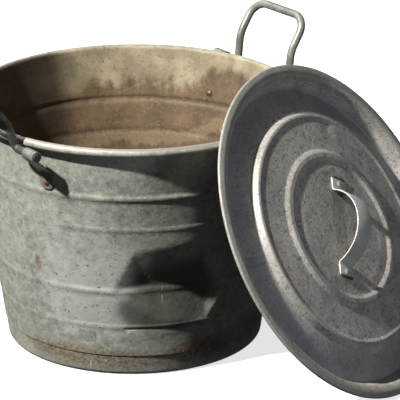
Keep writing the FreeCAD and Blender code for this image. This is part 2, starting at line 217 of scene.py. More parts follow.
# %% [markdown]
# ## The wall
# The wall is one sheet rolled into a cone.  Its top is turned outwards round a wire, which makes the rim
# stiff and safe to hold, and four swaged beads stiffen the sheet below.  A cylinder with loop cuts could be
# shaped by hand, but this section runs up the inside, over the roll and down the outside, so one closed
# grid gives both faces of the sheet at their true distance.

# %% Wall sizes and section (millimetres)
RIM_R = 210.0
HEIGHT = 309.5
ROLL_R = 5.2
SHEET = 1.0
FOOT_R = 161.0
BASE_CORNER_R = 7.0
WALL_FOOT_Z = 28.0
SKIRT_TOP_Z = 60.0
LAP_GAP = 0.05
BEADS = [(67.0, 4.0, 0.6), (115.0, 4.5, 1.0), (199.3, 4.0, 0.5), (241.0, 4.5, 1.3)]
ROLL_Z = HEIGHT - ROLL_R
TOP_R = RIM_R - 2 * ROLL_R + SHEET


def wall_radius(z):
    """Outside radius of the plain cone, growing evenly from the base corner to the roll."""
    return FOOT_R + (TOP_R - FOOT_R) * (z - BASE_CORNER_R) / (ROLL_Z - BASE_CORNER_R)


def bead_height(z):
    """How far the beads stand out at a height: each is a parabola over its own width."""
    return sum(proud * np.clip(1 - ((z - middle) / half) ** 2, 0, None) for middle, half, proud in BEADS)


def wall_heights(step, bead_points):
    """Heights from the wall's foot to the roll, closer together where a bead passes."""
    plain = np.arange(WALL_FOOT_Z, ROLL_Z, step)
    fine = [np.linspace(z - half, z + half, bead_points) for z, half, _ in BEADS]
    clear = np.all([np.abs(plain - z) > half + step / 3 for z, half, _ in BEADS], axis=0)
    return np.sort(np.concatenate([plain[clear | (plain == WALL_FOOT_Z)], [ROLL_Z]] + fine))


inner_z = wall_heights(5.0, 7)
outer_z = wall_heights(3.4, 9)
inner_face = np.stack([wall_radius(inner_z) + bead_height(inner_z) - SHEET, inner_z], axis=1)
outer_face = np.stack([wall_radius(outer_z) + bead_height(outer_z), outer_z], axis=1)[::-1]
roll_centre = (RIM_R - ROLL_R, ROLL_Z)
roll_outside = arc(roll_centre, ROLL_R, 180.0, -140.0, 28)[1:]
roll_inside = arc(roll_centre, ROLL_R - SHEET, -140.0, 180.0, 12)[:-1]
wall_section = np.concatenate([inner_face, roll_outside, roll_inside, outer_face])
print("wall section", len(wall_section), "points, rim", wall_section[:, 0].max(), "mm")

# %% [markdown]
# ## Years of knocks
# A sheet this thin is never quite round, and this one has been pushed in at the front.  The blow folded the
# wall along its second bead: the fold is the deepest part, and flat facets rise from it to the sound wall.
# A sculpted dent would look alike, but facets are easy to write: each edge of the dent gives a ramp that
# grows with the distance from it, and the smallest ramp wins, which is how a folded sheet meets its plane.

# %% The dent, as the smallest of several ramps
DENT_AZIMUTH = 287.0        # degrees
DENT_Z = 114.0
DENT_DEPTH = 12.5
DENT_CORNERS = [(-80.0, 0.0), (-52.0, 56.0), (34.0, 66.0), (69.0, -2.0), (42.0, -44.0), (-20.0, -40.0)]
DENT_REACH = [42.0, 56.0, 30.0, 27.0, 50.0, 38.0]   # from each edge to full depth, in order round the dent
DENT_FLOOR = 0.86           # share of the full depth at which the bottom levels out
FOLD_SOFTNESS = 0.03


def around(azimuth, middle):
    """Signed turn from a middle azimuth, in degrees, between -180 and 180."""
    return (azimuth - middle + 180.0) % 360.0 - 180.0


def softest(ramps, softness):
    """Smooth minimum: minus softness * log of the sum of exp(-ramp / softness)."""
    lowest = np.min(ramps, axis=0)
    return lowest - softness * np.log(np.sum(np.exp(-(ramps - lowest) / softness), axis=0))


def dent(azimuth, z):
    """Inward push in millimetres at points of the wall, given as arrays of azimuth and height."""
    along = np.radians(around(azimuth, DENT_AZIMUTH)) * wall_radius(DENT_Z)
    above = z - DENT_Z
    ramps = []
    for (x0, y0), (x1, y1), reach in zip(DENT_CORNERS, DENT_CORNERS[1:] + DENT_CORNERS[:1], DENT_REACH):
        length = math.hypot(x1 - x0, y1 - y0)
        inside = ((along - x0) * (y1 - y0) - (above - y0) * (x1 - x0)) / length
        ramps.append(inside / reach)
    ramps.append(np.full_like(along, DENT_FLOOR))
    return DENT_DEPTH * np.clip(softest(np.array(ramps), FOLD_SOFTNESS), 0.0, None)


# %% Out-of-round sheet, small dings and the crushed bead
RANDOM = np.random.default_rng(11)
DINGS = 60                  # small knocks all over the wall
CRUSH_AZIMUTH = 283.5       # middle of the crushed stretch of bead, degrees
CRUSH_HALF_TURN = 18.5      # degrees to each side of it
CRUSH_Z = 65.0
CRUSH_DEPTH = 2.6
CRUSH_WIDTH = 1.5
RUBBED_AZIMUTH = 222.0      # where the beads are worn flat
SEAM_AZIMUTH = 127.0
SEAM_HALF_WIDTH = 5.5
SEAM_RISE = 1.1


def dings(azimuth, z, count):
    """Many shallow bell-shaped knocks: each is its depth times exp(-distance^2 / radius^2)."""
    middle = RANDOM.uniform(0.0, 360.0, count)[:, None, None]
    height = RANDOM.uniform(45.0, 285.0, count)[:, None, None]
    radius = RANDOM.uniform(7.0, 30.0, count)[:, None, None]
    depth = RANDOM.uniform(-0.3, 1.0, count)[:, None, None]
    along = np.radians(around(azimuth[None], middle)) * wall_radius(height)
    return (depth * np.exp(-(along ** 2 + (z[None] - height) ** 2) / radius ** 2)).sum(axis=0)


def out_of_round(azimuth, z):
    """Slow waves round the wall, different at each height, under a millimetre."""
    a = np.radians(azimuth)
    waves = 0.5 * np.cos(2 * a + 0.8) + 0.35 * np.cos(3 * a + z / 60.0) + 0.22 * np.cos(7 * a - z / 45.0)
    return waves + 0.16 * np.cos(13 * a + z / 20.0 + 1.0)


def crushed_bead(azimuth, z):
    """Sharp groove where the lowest bead has folded under the dent, fading out at its two ends."""
    ends = np.clip((CRUSH_HALF_TURN - np.abs(around(azimuth, CRUSH_AZIMUTH))) / 3.0, 0.0, 1.0)
    return CRUSH_DEPTH * ends * np.exp(-((z - CRUSH_Z) / CRUSH_WIDTH) ** 2)


def bead_wear(azimuth, z):
    """Beads pressed nearly flat at the left: 0.7 of their height * exp(-turn^2 / 27^2), in degrees."""
    return bead_height(z) * 0.7 * np.exp(-(around(azimuth, RUBBED_AZIMUTH) / 27.0) ** 2)


def side_seam(azimuth, z):
    """Locked side seam at the back: a flat raised band with soft shoulders, for the outer face only."""
    along = np.radians(around(azimuth, SEAM_AZIMUTH)) * wall_radius(z)
    across = np.clip((SEAM_HALF_WIDTH - np.abs(along)) / 1.5, 0.0, 1.0)
    ends = np.clip((ROLL_Z - 12.0 - z) / 3.0, 0.0, 1.0)
    return SEAM_RISE * across * ends


# %% Wall mesh
WALL_ANGLES = 428
azimuths = np.linspace(0.0, 360.0, WALL_ANGLES, endpoint=False)
azimuth_grid, z_grid = np.meshgrid(azimuths, wall_section[:, 1], indexing="ij")
is_outer = (np.arange(len(wall_section)) >= len(wall_section) - len(outer_face)).astype(float)
fade = np.clip((ROLL_Z - 4.0 - z_grid) / 30.0, 0.0, 1.0) * np.clip((z_grid - WALL_FOOT_Z) / 12.0, 0.0, 1.0)
push = fade * (dings(azimuth_grid, z_grid, DINGS) - out_of_round(azimuth_grid, z_grid))
dented = dent(azimuth_grid, z_grid)
push = push + dented + crushed_bead(azimuth_grid, z_grid) + bead_wear(azimuth_grid, z_grid)
radius_grid = wall_section[None, :, 0] - push + side_seam(azimuth_grid, z_grid) * is_outer
wall_grid = MM * np.stack([radius_grid * np.cos(np.radians(azimuth_grid)),
                           radius_grid * np.sin(np.radians(azimuth_grid)), z_grid], axis=-1)
print("deepest push", round(float(push.max()), 1), "mm")

# %% [markdown]
# Large changes of colour belong to places: the scaled inside, the worn rim, a pale bloom of zinc salts low
# on the outside, rust near the foot, painted shade in and round the dent, and painted shade on one side of
# the inside.  Both painted shades stand in for shade deeper than the lamps give there, and they stay where
# they are when the light or the view changes.  The rim's worn line is partly wear and partly a painted
# highlight, strongest at the front.  All are stored on the mesh as masks between 0 and 1, which the
# materials read as attributes.  A painted texture would also do, but a mask by formula lands on the same
# place whenever the mesh changes.  Each place below is written as azimuth, height, width, tallness and
# strength.

# %% Masks for the wall's finish
def blot(azimuth, z, places):
    """Soft patches: the sum of strength * exp(-(arc / width)^2 - (rise / height)^2) over the places."""
    total = np.zeros(np.broadcast(azimuth, z).shape)
    for middle, height, width, tall, strength in places:
        along = np.radians(around(azimuth, middle)) * wall_radius(height)
        total = total + strength * np.exp(-(along / width) ** 2 - ((z - height) / tall) ** 2)
    return np.clip(total, 0.0, 1.0)


BLOOM = [(252.0, 95.0, 62.0, 58.0, 0.9), (238.0, 165.0, 30.0, 70.0, 0.35), (262.0, 150.0, 30.0, 40.0, 0.5),
         (110.0, 90.0, 90.0, 60.0, 0.8), (20.0, 80.0, 70.0, 50.0, 0.8), (60.0, 190.0, 40.0, 60.0, 0.4)]
RUST = [(229.0, 141.0, 6.0, 13.0, 0.8), (300.0, 30.0, 46.0, 16.0, 0.75), (222.0, 60.0, 18.0, 26.0, 0.35),
        (335.0, 40.0, 50.0, 22.0, 0.7), (150.0, 36.0, 70.0, 16.0, 0.6), (60.0, 40.0, 50.0, 20.0, 0.5),
        (95.0, 215.0, 12.0, 18.0, 0.5), (171.0, 120.0, 10.0, 20.0, 0.6), (238.0, 26.0, 60.0, 15.0, 0.7),
        (268.0, 24.0, 60.0, 14.0, 0.6)]
# Painted shade in and round the dent: places where the wall is darkened to stand for deeper shade.
DENT_SHADE_PLACES = [(272.0, 90.0, 30.0, 24.0, 0.9), (289.0, 88.0, 34.0, 26.0, 0.9), (283.0, 150.0, 40.0, 40.0, 0.4)]
# Painted shade on one side of the inside: places where the scale is darkened to stand for deeper shade.
INSIDE_SHADE_PLACES = [(170.0, 200.0, 190.0, 240.0, 1.0), (150.0, 270.0, 90.0, 90.0, 0.7)]

roll_angle = np.linspace(180.0, -140.0, 28)[1:]
inside_line = np.concatenate([np.ones(len(inner_face)), np.clip((roll_angle - 60.0) / 90.0, 0.0, 1.0),
                              np.zeros(len(roll_inside) + len(outer_face))])
# Worn line on the rim's top and inner edge: partly wear, partly a painted highlight.
rim_wear_and_highlight_line = np.concatenate([np.clip((inner_face[:, 1] - ROLL_Z + 7.0) / 7.0, 0.0, 1.0),
                            np.clip((roll_angle - 5.0) / 50.0, 0.0, 1.0),
                            np.zeros(len(roll_inside) + len(outer_face))])
whole = np.ones_like(z_grid)
# The worn line is strongest at the front, where it also paints a highlight.
rim_wear_and_highlight_share = 0.35 + 0.65 * np.clip((62.0 - np.abs(around(azimuths, 270.0))) / 15.0, 0.0, 1.0)
outside_grid = 1.0 - inside_line[None, :] * whole
# The painted shade follows the dent's depth and the places round it.
dent_shade_amount = np.maximum(dented / DENT_DEPTH, blot(azimuth_grid, z_grid, DENT_SHADE_PLACES))
wall_masks = {
    "inside": inside_line[None, :] * whole,
    "worn": rim_wear_and_highlight_line[None, :] * rim_wear_and_highlight_share[:, None],
    "tide": np.exp(-(around(azimuth_grid, 50.0) / 13.0) ** 2) * inside_line[None, :],
    "bloom": blot(azimuth_grid, z_grid, BLOOM) * outside_grid,
    "rust": blot(azimuth_grid, z_grid, RUST) * outside_grid,
    "painted_dent_shade": dent_shade_amount * outside_grid,
    "painted_inside_shade": blot(azimuth_grid, z_grid, INSIDE_SHADE_PLACES) * inside_line[None, :],
}
wall = skin("wall_shell", wall_grid, wall_masks)
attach(wall, "pot")
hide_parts("pot_wall")

# %% [markdown]
# ## The pan that closes the bottom
# The bottom is a shallow pan whose skirt stands inside the wall.  The same recipe makes it: a rounded line
# for the underside, the same line moved by the sheet's thickness for the upper side, both turned about Z.

# %% Pan mesh
def sheet_section(face, thickness):
    """Closed section of a sheet: one face forwards, then the same face moved sideways, backwards."""
    other = moved_sideways(face, thickness)
    other[0 if face[0, 0] < 1e-6 else -1, 0] = 0.0
    return np.concatenate([face, other[::-1]])


def turned(section, angles):
    """Section (radius, height) turned about Z: x = r cos a, y = r sin a, in metres."""
    a = np.linspace(0.0, 2 * np.pi, angles, endpoint=False)[:, None]
    r, z = section[:, 0][None, :], section[:, 1][None, :]
    return MM * np.stack([r * np.cos(a), r * np.sin(a), z + 0 * a], axis=-1)


skirt_in = SHEET + LAP_GAP
pan_corners = [(wall_radius(SKIRT_TOP_Z) - skirt_in, SKIRT_TOP_Z), (wall_radius(0.0) - skirt_in, 0.0),
               (0.0, 0.0)]
pan_face = filled_in(rounded_line(pan_corners, [BASE_CORNER_R], 12), 7.0)
pan_section = sheet_section(pan_face, -SHEET)
pan_grid = turned(pan_section, 320)
pan_radius = np.hypot(pan_grid[..., 0], pan_grid[..., 1]) / MM
pan_azimuth = np.degrees(np.arctan2(pan_grid[..., 1], pan_grid[..., 0]))
on_floor = np.clip(1 - pan_radius / 150.0, 0.0, 1.0)
pan_grid[..., 2] += MM * on_floor * (1.4 + 0.7 * np.cos(np.radians(pan_azimuth) * 3 + pan_radius / 25.0))
pan_inner = (np.arange(len(pan_section)) >= len(pan_face)).astype(float)[None, :] * np.ones_like(pan_radius)
pan_masks = {"inside": pan_inner, "worn": 0 * pan_inner, "bloom": 0 * pan_inner, "painted_dent_shade": 0 * pan_inner,
             "rust": np.clip(0.2 + blot(pan_azimuth, pan_grid[..., 2] / MM, RUST), 0, 1) * (1 - pan_inner)}
pan = skin("pan_shell", pan_grid, pan_masks)
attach(pan, "pot")
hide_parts("pot_bottom")

# %% [markdown]
# ## The pressed lid
# A press forms the lid in one stroke: a rolled edge, a crowned flange, a deep channel that drops inside the
# pot, a long slope up to a raised ring, a second ring and the flat middle.  Its section is a line with
# rounded corners.  It is turned about its own axis first and then carried to where the lid leans on the
# rim, so the small dents can be written in the lid's own radius and angle.

# %% Lid section (millimetres, in the lid's own frame)
LID_R = 212.6
LID_ROLL_R = 2.2
LID_ROLL_H = -1.2
PANEL_H = 7.4
LID_FACE = [(204.5, 2.2, 12.0), (197.4, 0.0, 3.0), (187.4, -18.0, 3.0), (160.0, -9.2, 3.0),
            (150.0, -5.0, 2.0), (147.0, 4.2, 2.0), (143.5, 4.8, 2.5), (139.5, 3.4, 2.5), (101.5, 5.4, 3.0),
            (96.0, 8.8, 3.5), (90.0, 9.2, 4.0), (85.0, 6.8, 3.0), (72.0, PANEL_H, 10.0)]

flange_start = (LID_R - LID_ROLL_R, LID_ROLL_H + LID_ROLL_R)
lid_corners = [flange_start] + [(r, h) for r, h, _ in LID_FACE] + [(0.0, PANEL_H)]
lid_line = filled_in(rounded_line(lid_corners, [rounding for _, _, rounding in LID_FACE], 6), 4.2)
lid_roll_centre = (LID_R - LID_ROLL_R, LID_ROLL_H)
lid_roll_outside = arc(lid_roll_centre, LID_ROLL_R, -170.0, 90.0, 14)[:-1]
lid_roll_inside = arc(lid_roll_centre, LID_ROLL_R - SHEET, 90.0, -170.0, 8)
lid_upper = np.concatenate([lid_roll_outside, lid_line])
lid_under = moved_sideways(lid_line, SHEET)[::-1]
lid_under[0, 0] = 0.0
lid_section = np.concatenate([lid_upper, lid_under[:-1], lid_roll_inside])
print("lid section", len(lid_section), "points")

# %% [markdown]
# The lid stands on its edge and leans on the rim.  Rotating the finished object would do, but an exported
# piece has to sit at the origin, unturned.  So three directions are worked out, the lid's normal, its slope
# and the line across it, and every point is carried along them.

# %% Where the lid leans
LID_AZIMUTH = -32.8         # degrees, where the upper face looks
LID_TILT = 30.3             # degrees above the horizontal
LID_FOOT_AZIMUTH = -31.5    # degrees, where its lowest point stands, seen from the pot's axis
LID_FOOT_OUT = 392.2        # millimetres from the pot's axis
LID_CLEAR = 0.3

lid_normal = np.array(direction(LID_AZIMUTH, LID_TILT))
lid_slope = np.array(direction(LID_AZIMUTH + 180.0, 90.0 - LID_TILT))
lid_across = np.cross(lid_normal, lid_slope)
lid_foot = LID_FOOT_OUT * np.array(direction(LID_FOOT_AZIMUTH, 0.0))
lid_centre = (lid_foot + np.array([0.0, 0.0, LID_CLEAR + LID_ROLL_R])
              + lid_slope * (LID_R - LID_ROLL_R) - lid_normal * LID_ROLL_H)


def on_lid(points):
    """Points of the lid's own frame (millimetres) carried to the leaning lid (metres)."""
    return MM * (lid_centre + points[..., 0:1] * lid_slope + points[..., 1:2] * lid_across
                 + points[..., 2:3] * lid_normal)


low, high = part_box("lid_panel")
print("lid centre", lid_centre.round(1), "mm")
print("CAD lid box", [round(v, 3) for v in low], [round(v, 3) for v in high])

# %% Lid mesh with its small unevenness
LID_ANGLES = 380
lid_grid = turned(lid_section, LID_ANGLES) / MM
lid_radius = np.hypot(lid_grid[..., 0], lid_grid[..., 1])
lid_angle = np.degrees(np.arctan2(lid_grid[..., 1], lid_grid[..., 0]))


def lid_dings(x, y, count):
    """Shallow bell-shaped knocks over the lid, each depth * exp(-distance^2 / radius^2)."""
    turn = RANDOM.uniform(0.0, 2 * np.pi, count)[:, None, None]
    out = 175.0 * np.sqrt(RANDOM.uniform(0.0, 1.0, count))[:, None, None]
    radius = RANDOM.uniform(8.0, 30.0, count)[:, None, None]
    depth = RANDOM.uniform(-0.7, 0.7, count)[:, None, None]
    away = (x[None] - out * np.cos(turn)) ** 2 + (y[None] - out * np.sin(turn)) ** 2
    return (depth * np.exp(-away / radius ** 2)).sum(axis=0)


from_edge = np.clip((205.0 - lid_radius) / 40.0, 0.0, 1.0)
wave = 0.5 * np.cos(np.radians(3 * lid_angle + 40.0))
wave = wave + 0.3 * np.cos(np.radians(5 * lid_angle) + lid_radius / 30)
lid_grid[..., 2] += from_edge * np.clip(lid_radius / 40.0, 0.0, 1.0) * wave
lid_grid[..., 2] += from_edge * lid_dings(lid_grid[..., 0], lid_grid[..., 1], 36)
strap_zone = np.clip((lid_radius - 68.0) / 6.0, 0.0, 1.0)
lid_flat = turned(lid_section, LID_ANGLES)[..., 2] / MM
lid_grid[..., 2] = lid_flat + (lid_grid[..., 2] - lid_flat) * strap_zone

lid_worn = np.clip((lid_radius - 197.0) / 5.0, 0.0, 1.0)
# Painted shade on the two ring crests.
lid_crest_shade = sum(np.exp(-((lid_radius - r) / w) ** 2) for r, w in ((145.0, 3.5), (93.5, 5.0)))
# Painted shade in the channel, deepest where the channel is lowest.
lid_channel_shade = np.clip(-(lid_flat + 3.0) / 9.0, 0.0, 1.0) * (lid_radius < 189.0)
lid_lip = np.exp(-((lid_radius - 196.0) / 1.6) ** 2)
lid_masks = {"worn": lid_worn, "painted_crest_shade": lid_crest_shade, "painted_channel_shade": lid_channel_shade, "lip": lid_lip}
lid_shell = skin("lid_shell", on_lid(lid_grid), lid_masks)
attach(lid_shell, "lid")
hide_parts("lid_panel")

# %% [markdown]
# ## The strap
# The handle is a strip bent into an arch with two foot tabs.  A strip is a small rounded rectangle carried
# along a bent line, so the second recipe is used: a section, a path and the path's own sideways direction.
# The section narrows near each end, which rounds the tabs' corners, and its own corners are rounded,
# because a sheared and tumbled edge catches a thin line of light.

# %% Strap mesh
STRAP_T = 1.6
STRAP_W = 25.0
STRAP_TURN = -33.5          # degrees from the lid's slope line
KNEE_X = 48.5
FOOT_END_X = 66.5
STRAP_H = 36.0
TAB_CORNER_R = 5.0
STRAP_EDGE_R = 0.45
KNEE_START = 3.0            # how far from the knee the bend begins, along the tab


def strap_path():
    """Middle line of the strip: a tab, a tight bend as a quadratic curve, the arch, and the same again."""
    base = PANEL_H + LAP_GAP + STRAP_T / 2
    arch_r = (KNEE_X ** 2 + STRAP_H ** 2) / (2 * STRAP_H)
    arch_z = PANEL_H + LAP_GAP + STRAP_H - arch_r
    middle_r = arch_r - STRAP_T / 2
    lift_angle = math.degrees(math.asin((base + 2.6 - arch_z) / middle_r))
    arch = arc((0.0, arch_z), middle_r, 180.0 - lift_angle, lift_angle, 46)
    knee = np.array([arch[0, 0] - 0.7, base])
    t = np.linspace(0.0, 1.0, 8)[:-1, None]
    start = knee - np.array([KNEE_START, 0.0])
    bend = (1 - t) ** 2 * start + 2 * t * (1 - t) * knee + t ** 2 * arch[0]
    tab_x = -FOOT_END_X + TAB_CORNER_R * (1 - np.cos(np.linspace(0.0, np.pi / 2, 8)))
    tab = np.stack([np.append(tab_x, np.linspace(tab_x[-1] + 2.0, start[0] - 1.5, 3)),
                    np.full(len(tab_x) + 3, base)], axis=1)
    half = np.concatenate([tab, bend, arch[: len(arch) // 2]])
    return np.concatenate([half, half[::-1] * [-1.0, 1.0]])


def rounded_rectangle(half_width, half_height, radius, corner_points=4):
    """Outline as four quarter circles joined by straight sides."""
    outline = [arc((sx * (half_width - radius), sz * (half_height - radius)), radius, start, start + 90.0,
                   corner_points) for sx, sz, start in ((1, 1, 0), (-1, 1, 90), (-1, -1, 180), (1, -1, 270))]
    return np.concatenate(outline)


def swept_strip(path, half_width, half_thickness, radius):
    """Section carried along a path in the XZ plane: its width lies along Y, its thickness along the path's
    normal.  The half width is an array, one value for each point of the path."""
    tangent = np.gradient(path, axis=0)
    tangent /= np.linalg.norm(tangent, axis=1, keepdims=True)
    normal = np.stack([-tangent[:, 1], tangent[:, 0]], axis=1)
    shape = rounded_rectangle(1.0, half_thickness, radius)
    across = np.sign(shape[:, 0]) * (half_width[:, None] - (1.0 - np.abs(shape[:, 0]))[None, :])
    lift = shape[:, 1][None, :]
    along_x = path[:, 0:1] + normal[:, 0:1] * lift
    along_z = path[:, 1:2] + normal[:, 1:2] * lift
    return np.stack([along_x, across, along_z], axis=-1)


def capped(grid):
    """Grid with each open end closed: the end outline shrinks in two rings to its own middle."""
    first, last = grid[0], grid[-1]
    ends = [np.stack([g.mean(axis=0) + (g - g.mean(axis=0)) * k for k in ks])
            for g, ks in ((first, (0.0, 0.5)), (last, (0.5, 0.0)))]
    return np.concatenate([ends[0], grid, ends[1]])


strap_line = strap_path()
from_end = np.clip(FOOT_END_X - np.abs(strap_line[:, 0]), 0.0, TAB_CORNER_R)
narrowing = TAB_CORNER_R - np.sqrt(TAB_CORNER_R ** 2 - (TAB_CORNER_R - from_end) ** 2)
strap_local = capped(swept_strip(strap_line, STRAP_W / 2 - narrowing, STRAP_T / 2, STRAP_EDGE_R))
turn = math.radians(STRAP_TURN)
strap_turned = np.stack([strap_local[..., 0] * math.cos(turn) - strap_local[..., 1] * math.sin(turn),
                         strap_local[..., 0] * math.sin(turn) + strap_local[..., 1] * math.cos(turn),
                         strap_local[..., 2]], axis=-1)
strap_edge = np.clip((np.abs(strap_local[..., 1]) - STRAP_W / 2 + 0.9) / 0.5, 0.0, 1.0)
strap = skin("strap_handle", on_lid(strap_turned), {"edge": strap_edge}, 35.0)
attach(strap, "lid")
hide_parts("lid_strap")

# %% [markdown]
# ## Finishes
# Old galvanised steel isn't a mirror.  Zinc turns into grey salts that scatter light, with only a little
# metal left to shine through, so each finish mixes several tones by noise of different sizes: clouds as
# wide as a hand, crystals of the zinc as wide as a finger nail, and grit of a few millimetres.  Object
# coordinates give every noise its real size and keep it still in every view.  Painted image textures would
# be the usual alternative, but a node finish has no seams and needs no file.

# %% A short way to write node materials
def tone(red, green, blue):
    """Linear colour from chart values in 0..255: the display curve undone, ((c + 0.055) / 1.055) ^ 2.4."""
    chart = np.array([red, green, blue]) / 255.0
    linear = np.where(chart <= 0.04045, chart / 12.92, ((chart + 0.055) / 1.055) ** 2.4)
    return (*[float(v) for v in linear], 1.0)


class Finish:
    """A node material.  Each method adds one node and returns the socket that carries its result."""

    def __init__(self, name):
        self.material = bpy.data.materials.new(name)
        self.material.use_nodes = True
        self.nodes = self.material.node_tree.nodes
        self.links = self.material.node_tree.links
        self.surface = self.nodes["Principled BSDF"]
        self.place = self.nodes.new("ShaderNodeTexCoord").outputs["Object"]
        self.normal = None

    def feed(self, socket, value):
        """Links a socket's value, or sets a plain number or colour."""
        if isinstance(value, bpy.types.NodeSocket):
            self.links.new(value, socket)
        else:
            socket.default_value = value

    def stretched(self, x, y, z):
        """Object coordinates scaled along the axes; a smaller number draws the pattern out."""
        node = self.nodes.new("ShaderNodeMapping")
        self.feed(node.inputs["Vector"], self.place)
        node.inputs["Scale"].default_value = (x, y, z)
        return node.outputs["Vector"]

    def noise(self, size, seed, detail=3.0, roughness=0.6, place=None, warp=0.0):
        """Cloudy noise whose largest blotches are a size in metres."""
        node = self.nodes.new("ShaderNodeTexNoise")
        node.noise_dimensions = "4D"
        self.feed(node.inputs["Vector"], place or self.place)
        node.inputs["W"].default_value = seed
        node.inputs["Scale"].default_value = 1.0 / size
        node.inputs["Detail"].default_value = detail
        node.inputs["Roughness"].default_value = roughness
        node.inputs["Distortion"].default_value = warp
        return node.outputs["Fac"]

    def crystals(self, size):
        """Flat cells of random grey, as zinc freezes in crystals of about this size in metres."""
        node = self.nodes.new("ShaderNodeTexVoronoi")
        self.feed(node.inputs["Vector"], self.place)
        node.inputs["Scale"].default_value = 1.0 / size
        grey = self.nodes.new("ShaderNodeRGBToBW")
        self.links.new(node.outputs["Color"], grey.inputs["Color"])
        return grey.outputs["Val"]

    def mask(self, name):
        """Mask stored on the mesh under a name; it is nought on a mesh that doesn't have it."""
        node = self.nodes.new("ShaderNodeAttribute")
        node.attribute_name = name
        return node.outputs["Fac"]

    def height(self):
        """Height above the floor in metres."""
        node = self.nodes.new("ShaderNodeSeparateXYZ")
        self.feed(node.inputs["Vector"], self.place)
        return node.outputs["Z"]

    def from_axis(self):
        """Distance from the pot's axis in metres: the length of the coordinates with Z set to nought."""
        node = self.nodes.new("ShaderNodeVectorMath")
        node.operation = "LENGTH"
        self.feed(node.inputs[0], self.stretched(1.0, 1.0, 0.0))
        return node.outputs["Value"]

    def between(self, value, low, high, to_low=0.0, to_high=1.0):
        """Smooth step: to_low below low, to_high above high, an S-curve between them."""
        node = self.nodes.new("ShaderNodeMapRange")
        node.interpolation_type = "SMOOTHSTEP"
        self.feed(node.inputs["Value"], value)
        for name, number in (("From Min", low), ("From Max", high), ("To Min", to_low), ("To Max", to_high)):
            self.feed(node.inputs[name], number)
        return node.outputs["Result"]

    def maths(self, operation, first, second=0.0):
        """One arithmetic step on two values."""
        node = self.nodes.new("ShaderNodeMath")
        node.operation = operation
        self.feed(node.inputs[0], first)
        self.feed(node.inputs[1], second)
        return node.outputs["Value"]

    def blend(self, factor, first, second):
        """Colour that goes from the first to the second as the factor goes from 0 to 1."""
        node = self.nodes.new("ShaderNodeMix")
        node.data_type = "RGBA"
        self.feed(node.inputs[0], factor)
        self.feed(node.inputs[6], first)
        self.feed(node.inputs[7], second)
        return node.outputs[2]

    def relief(self, height, depth):
        """Bump of a real depth in metres, added to any bump already there."""
        node = self.nodes.new("ShaderNodeBump")
        node.inputs["Distance"].default_value = depth
        self.feed(node.inputs["Height"], height)
        if self.normal is not None:
            self.links.new(self.normal, node.inputs["Normal"])
        self.normal = node.outputs["Normal"]

    def finished(self, colour, metallic, roughness):
        """Connects the finished colour, metal share, roughness and bump to the surface shader."""
        self.feed(self.surface.inputs["Base Color"], colour)
        self.feed(self.surface.inputs["Metallic"], metallic)
        self.feed(self.surface.inputs["Roughness"], roughness)
        if self.normal is not None:
            self.links.new(self.normal, self.surface.inputs["Normal"])
        print(self.material.name, len(self.nodes), "nodes")
        return self.material


# %% [markdown]
# ## The pot's finish
# Outside, the zinc has gone dull in patches, with salts, scratches and rust.  Inside, boiling left scale:
# pale above the water line, tan and brown below it.  Two materials could be given to two sets of faces, but
# one material that reads the "inside" mask lets the scale fade softly over the rim, as it does on a used
# pot.

# %% Pot finish: weathered zinc outside, boiled scale inside
def outside_zinc(finish):
    """Colour of the outer face: clouds, crystals and grit, then bloom, pits, scratches and rust on top."""
    cloud = finish.noise(0.07, 1.0, 5.0, 0.62)
    grain = finish.noise(0.011, 2.0, 6.0, 0.72)
    grit = finish.noise(0.0034, 3.0, 3.0, 0.65)
    colour = finish.blend(finish.between(cloud, 0.36, 0.66), tone(152, 154, 142), tone(178, 179, 166))
    colour = finish.blend(finish.between(grain, 0.44, 0.66, 0.0, 0.8), colour, tone(192, 192, 180))
    colour = finish.blend(finish.between(grain, 0.44, 0.34, 0.0, 0.9), colour, tone(132, 134, 122))
    flakes = finish.maths("MULTIPLY", finish.crystals(0.009), 0.16)
    colour = finish.blend(flakes, colour, tone(120, 124, 120))
    colour = finish.blend(finish.between(grit, 0.46, 0.32, 0.0, 0.45), colour, tone(98, 98, 88))
    colour = finish.blend(finish.between(grit, 0.56, 0.70, 0.0, 0.6), colour, tone(212, 211, 200))
    bloom_edge = finish.maths("ADD", finish.mask("bloom"), finish.maths("MULTIPLY", grain, 0.9))
    bloom = finish.between(bloom_edge, 0.62, 1.15)
    colour = finish.blend(finish.maths("MULTIPLY", bloom, 0.7), colour, tone(198, 200, 194))
    pits = finish.maths("MULTIPLY", bloom, finish.between(finish.noise(0.0042, 8.0, 3.0, 0.7), 0.41, 0.33))
    colour = finish.blend(finish.maths("MULTIPLY", pits, 0.8), colour, tone(74, 76, 72))
    return colour, grain, grit


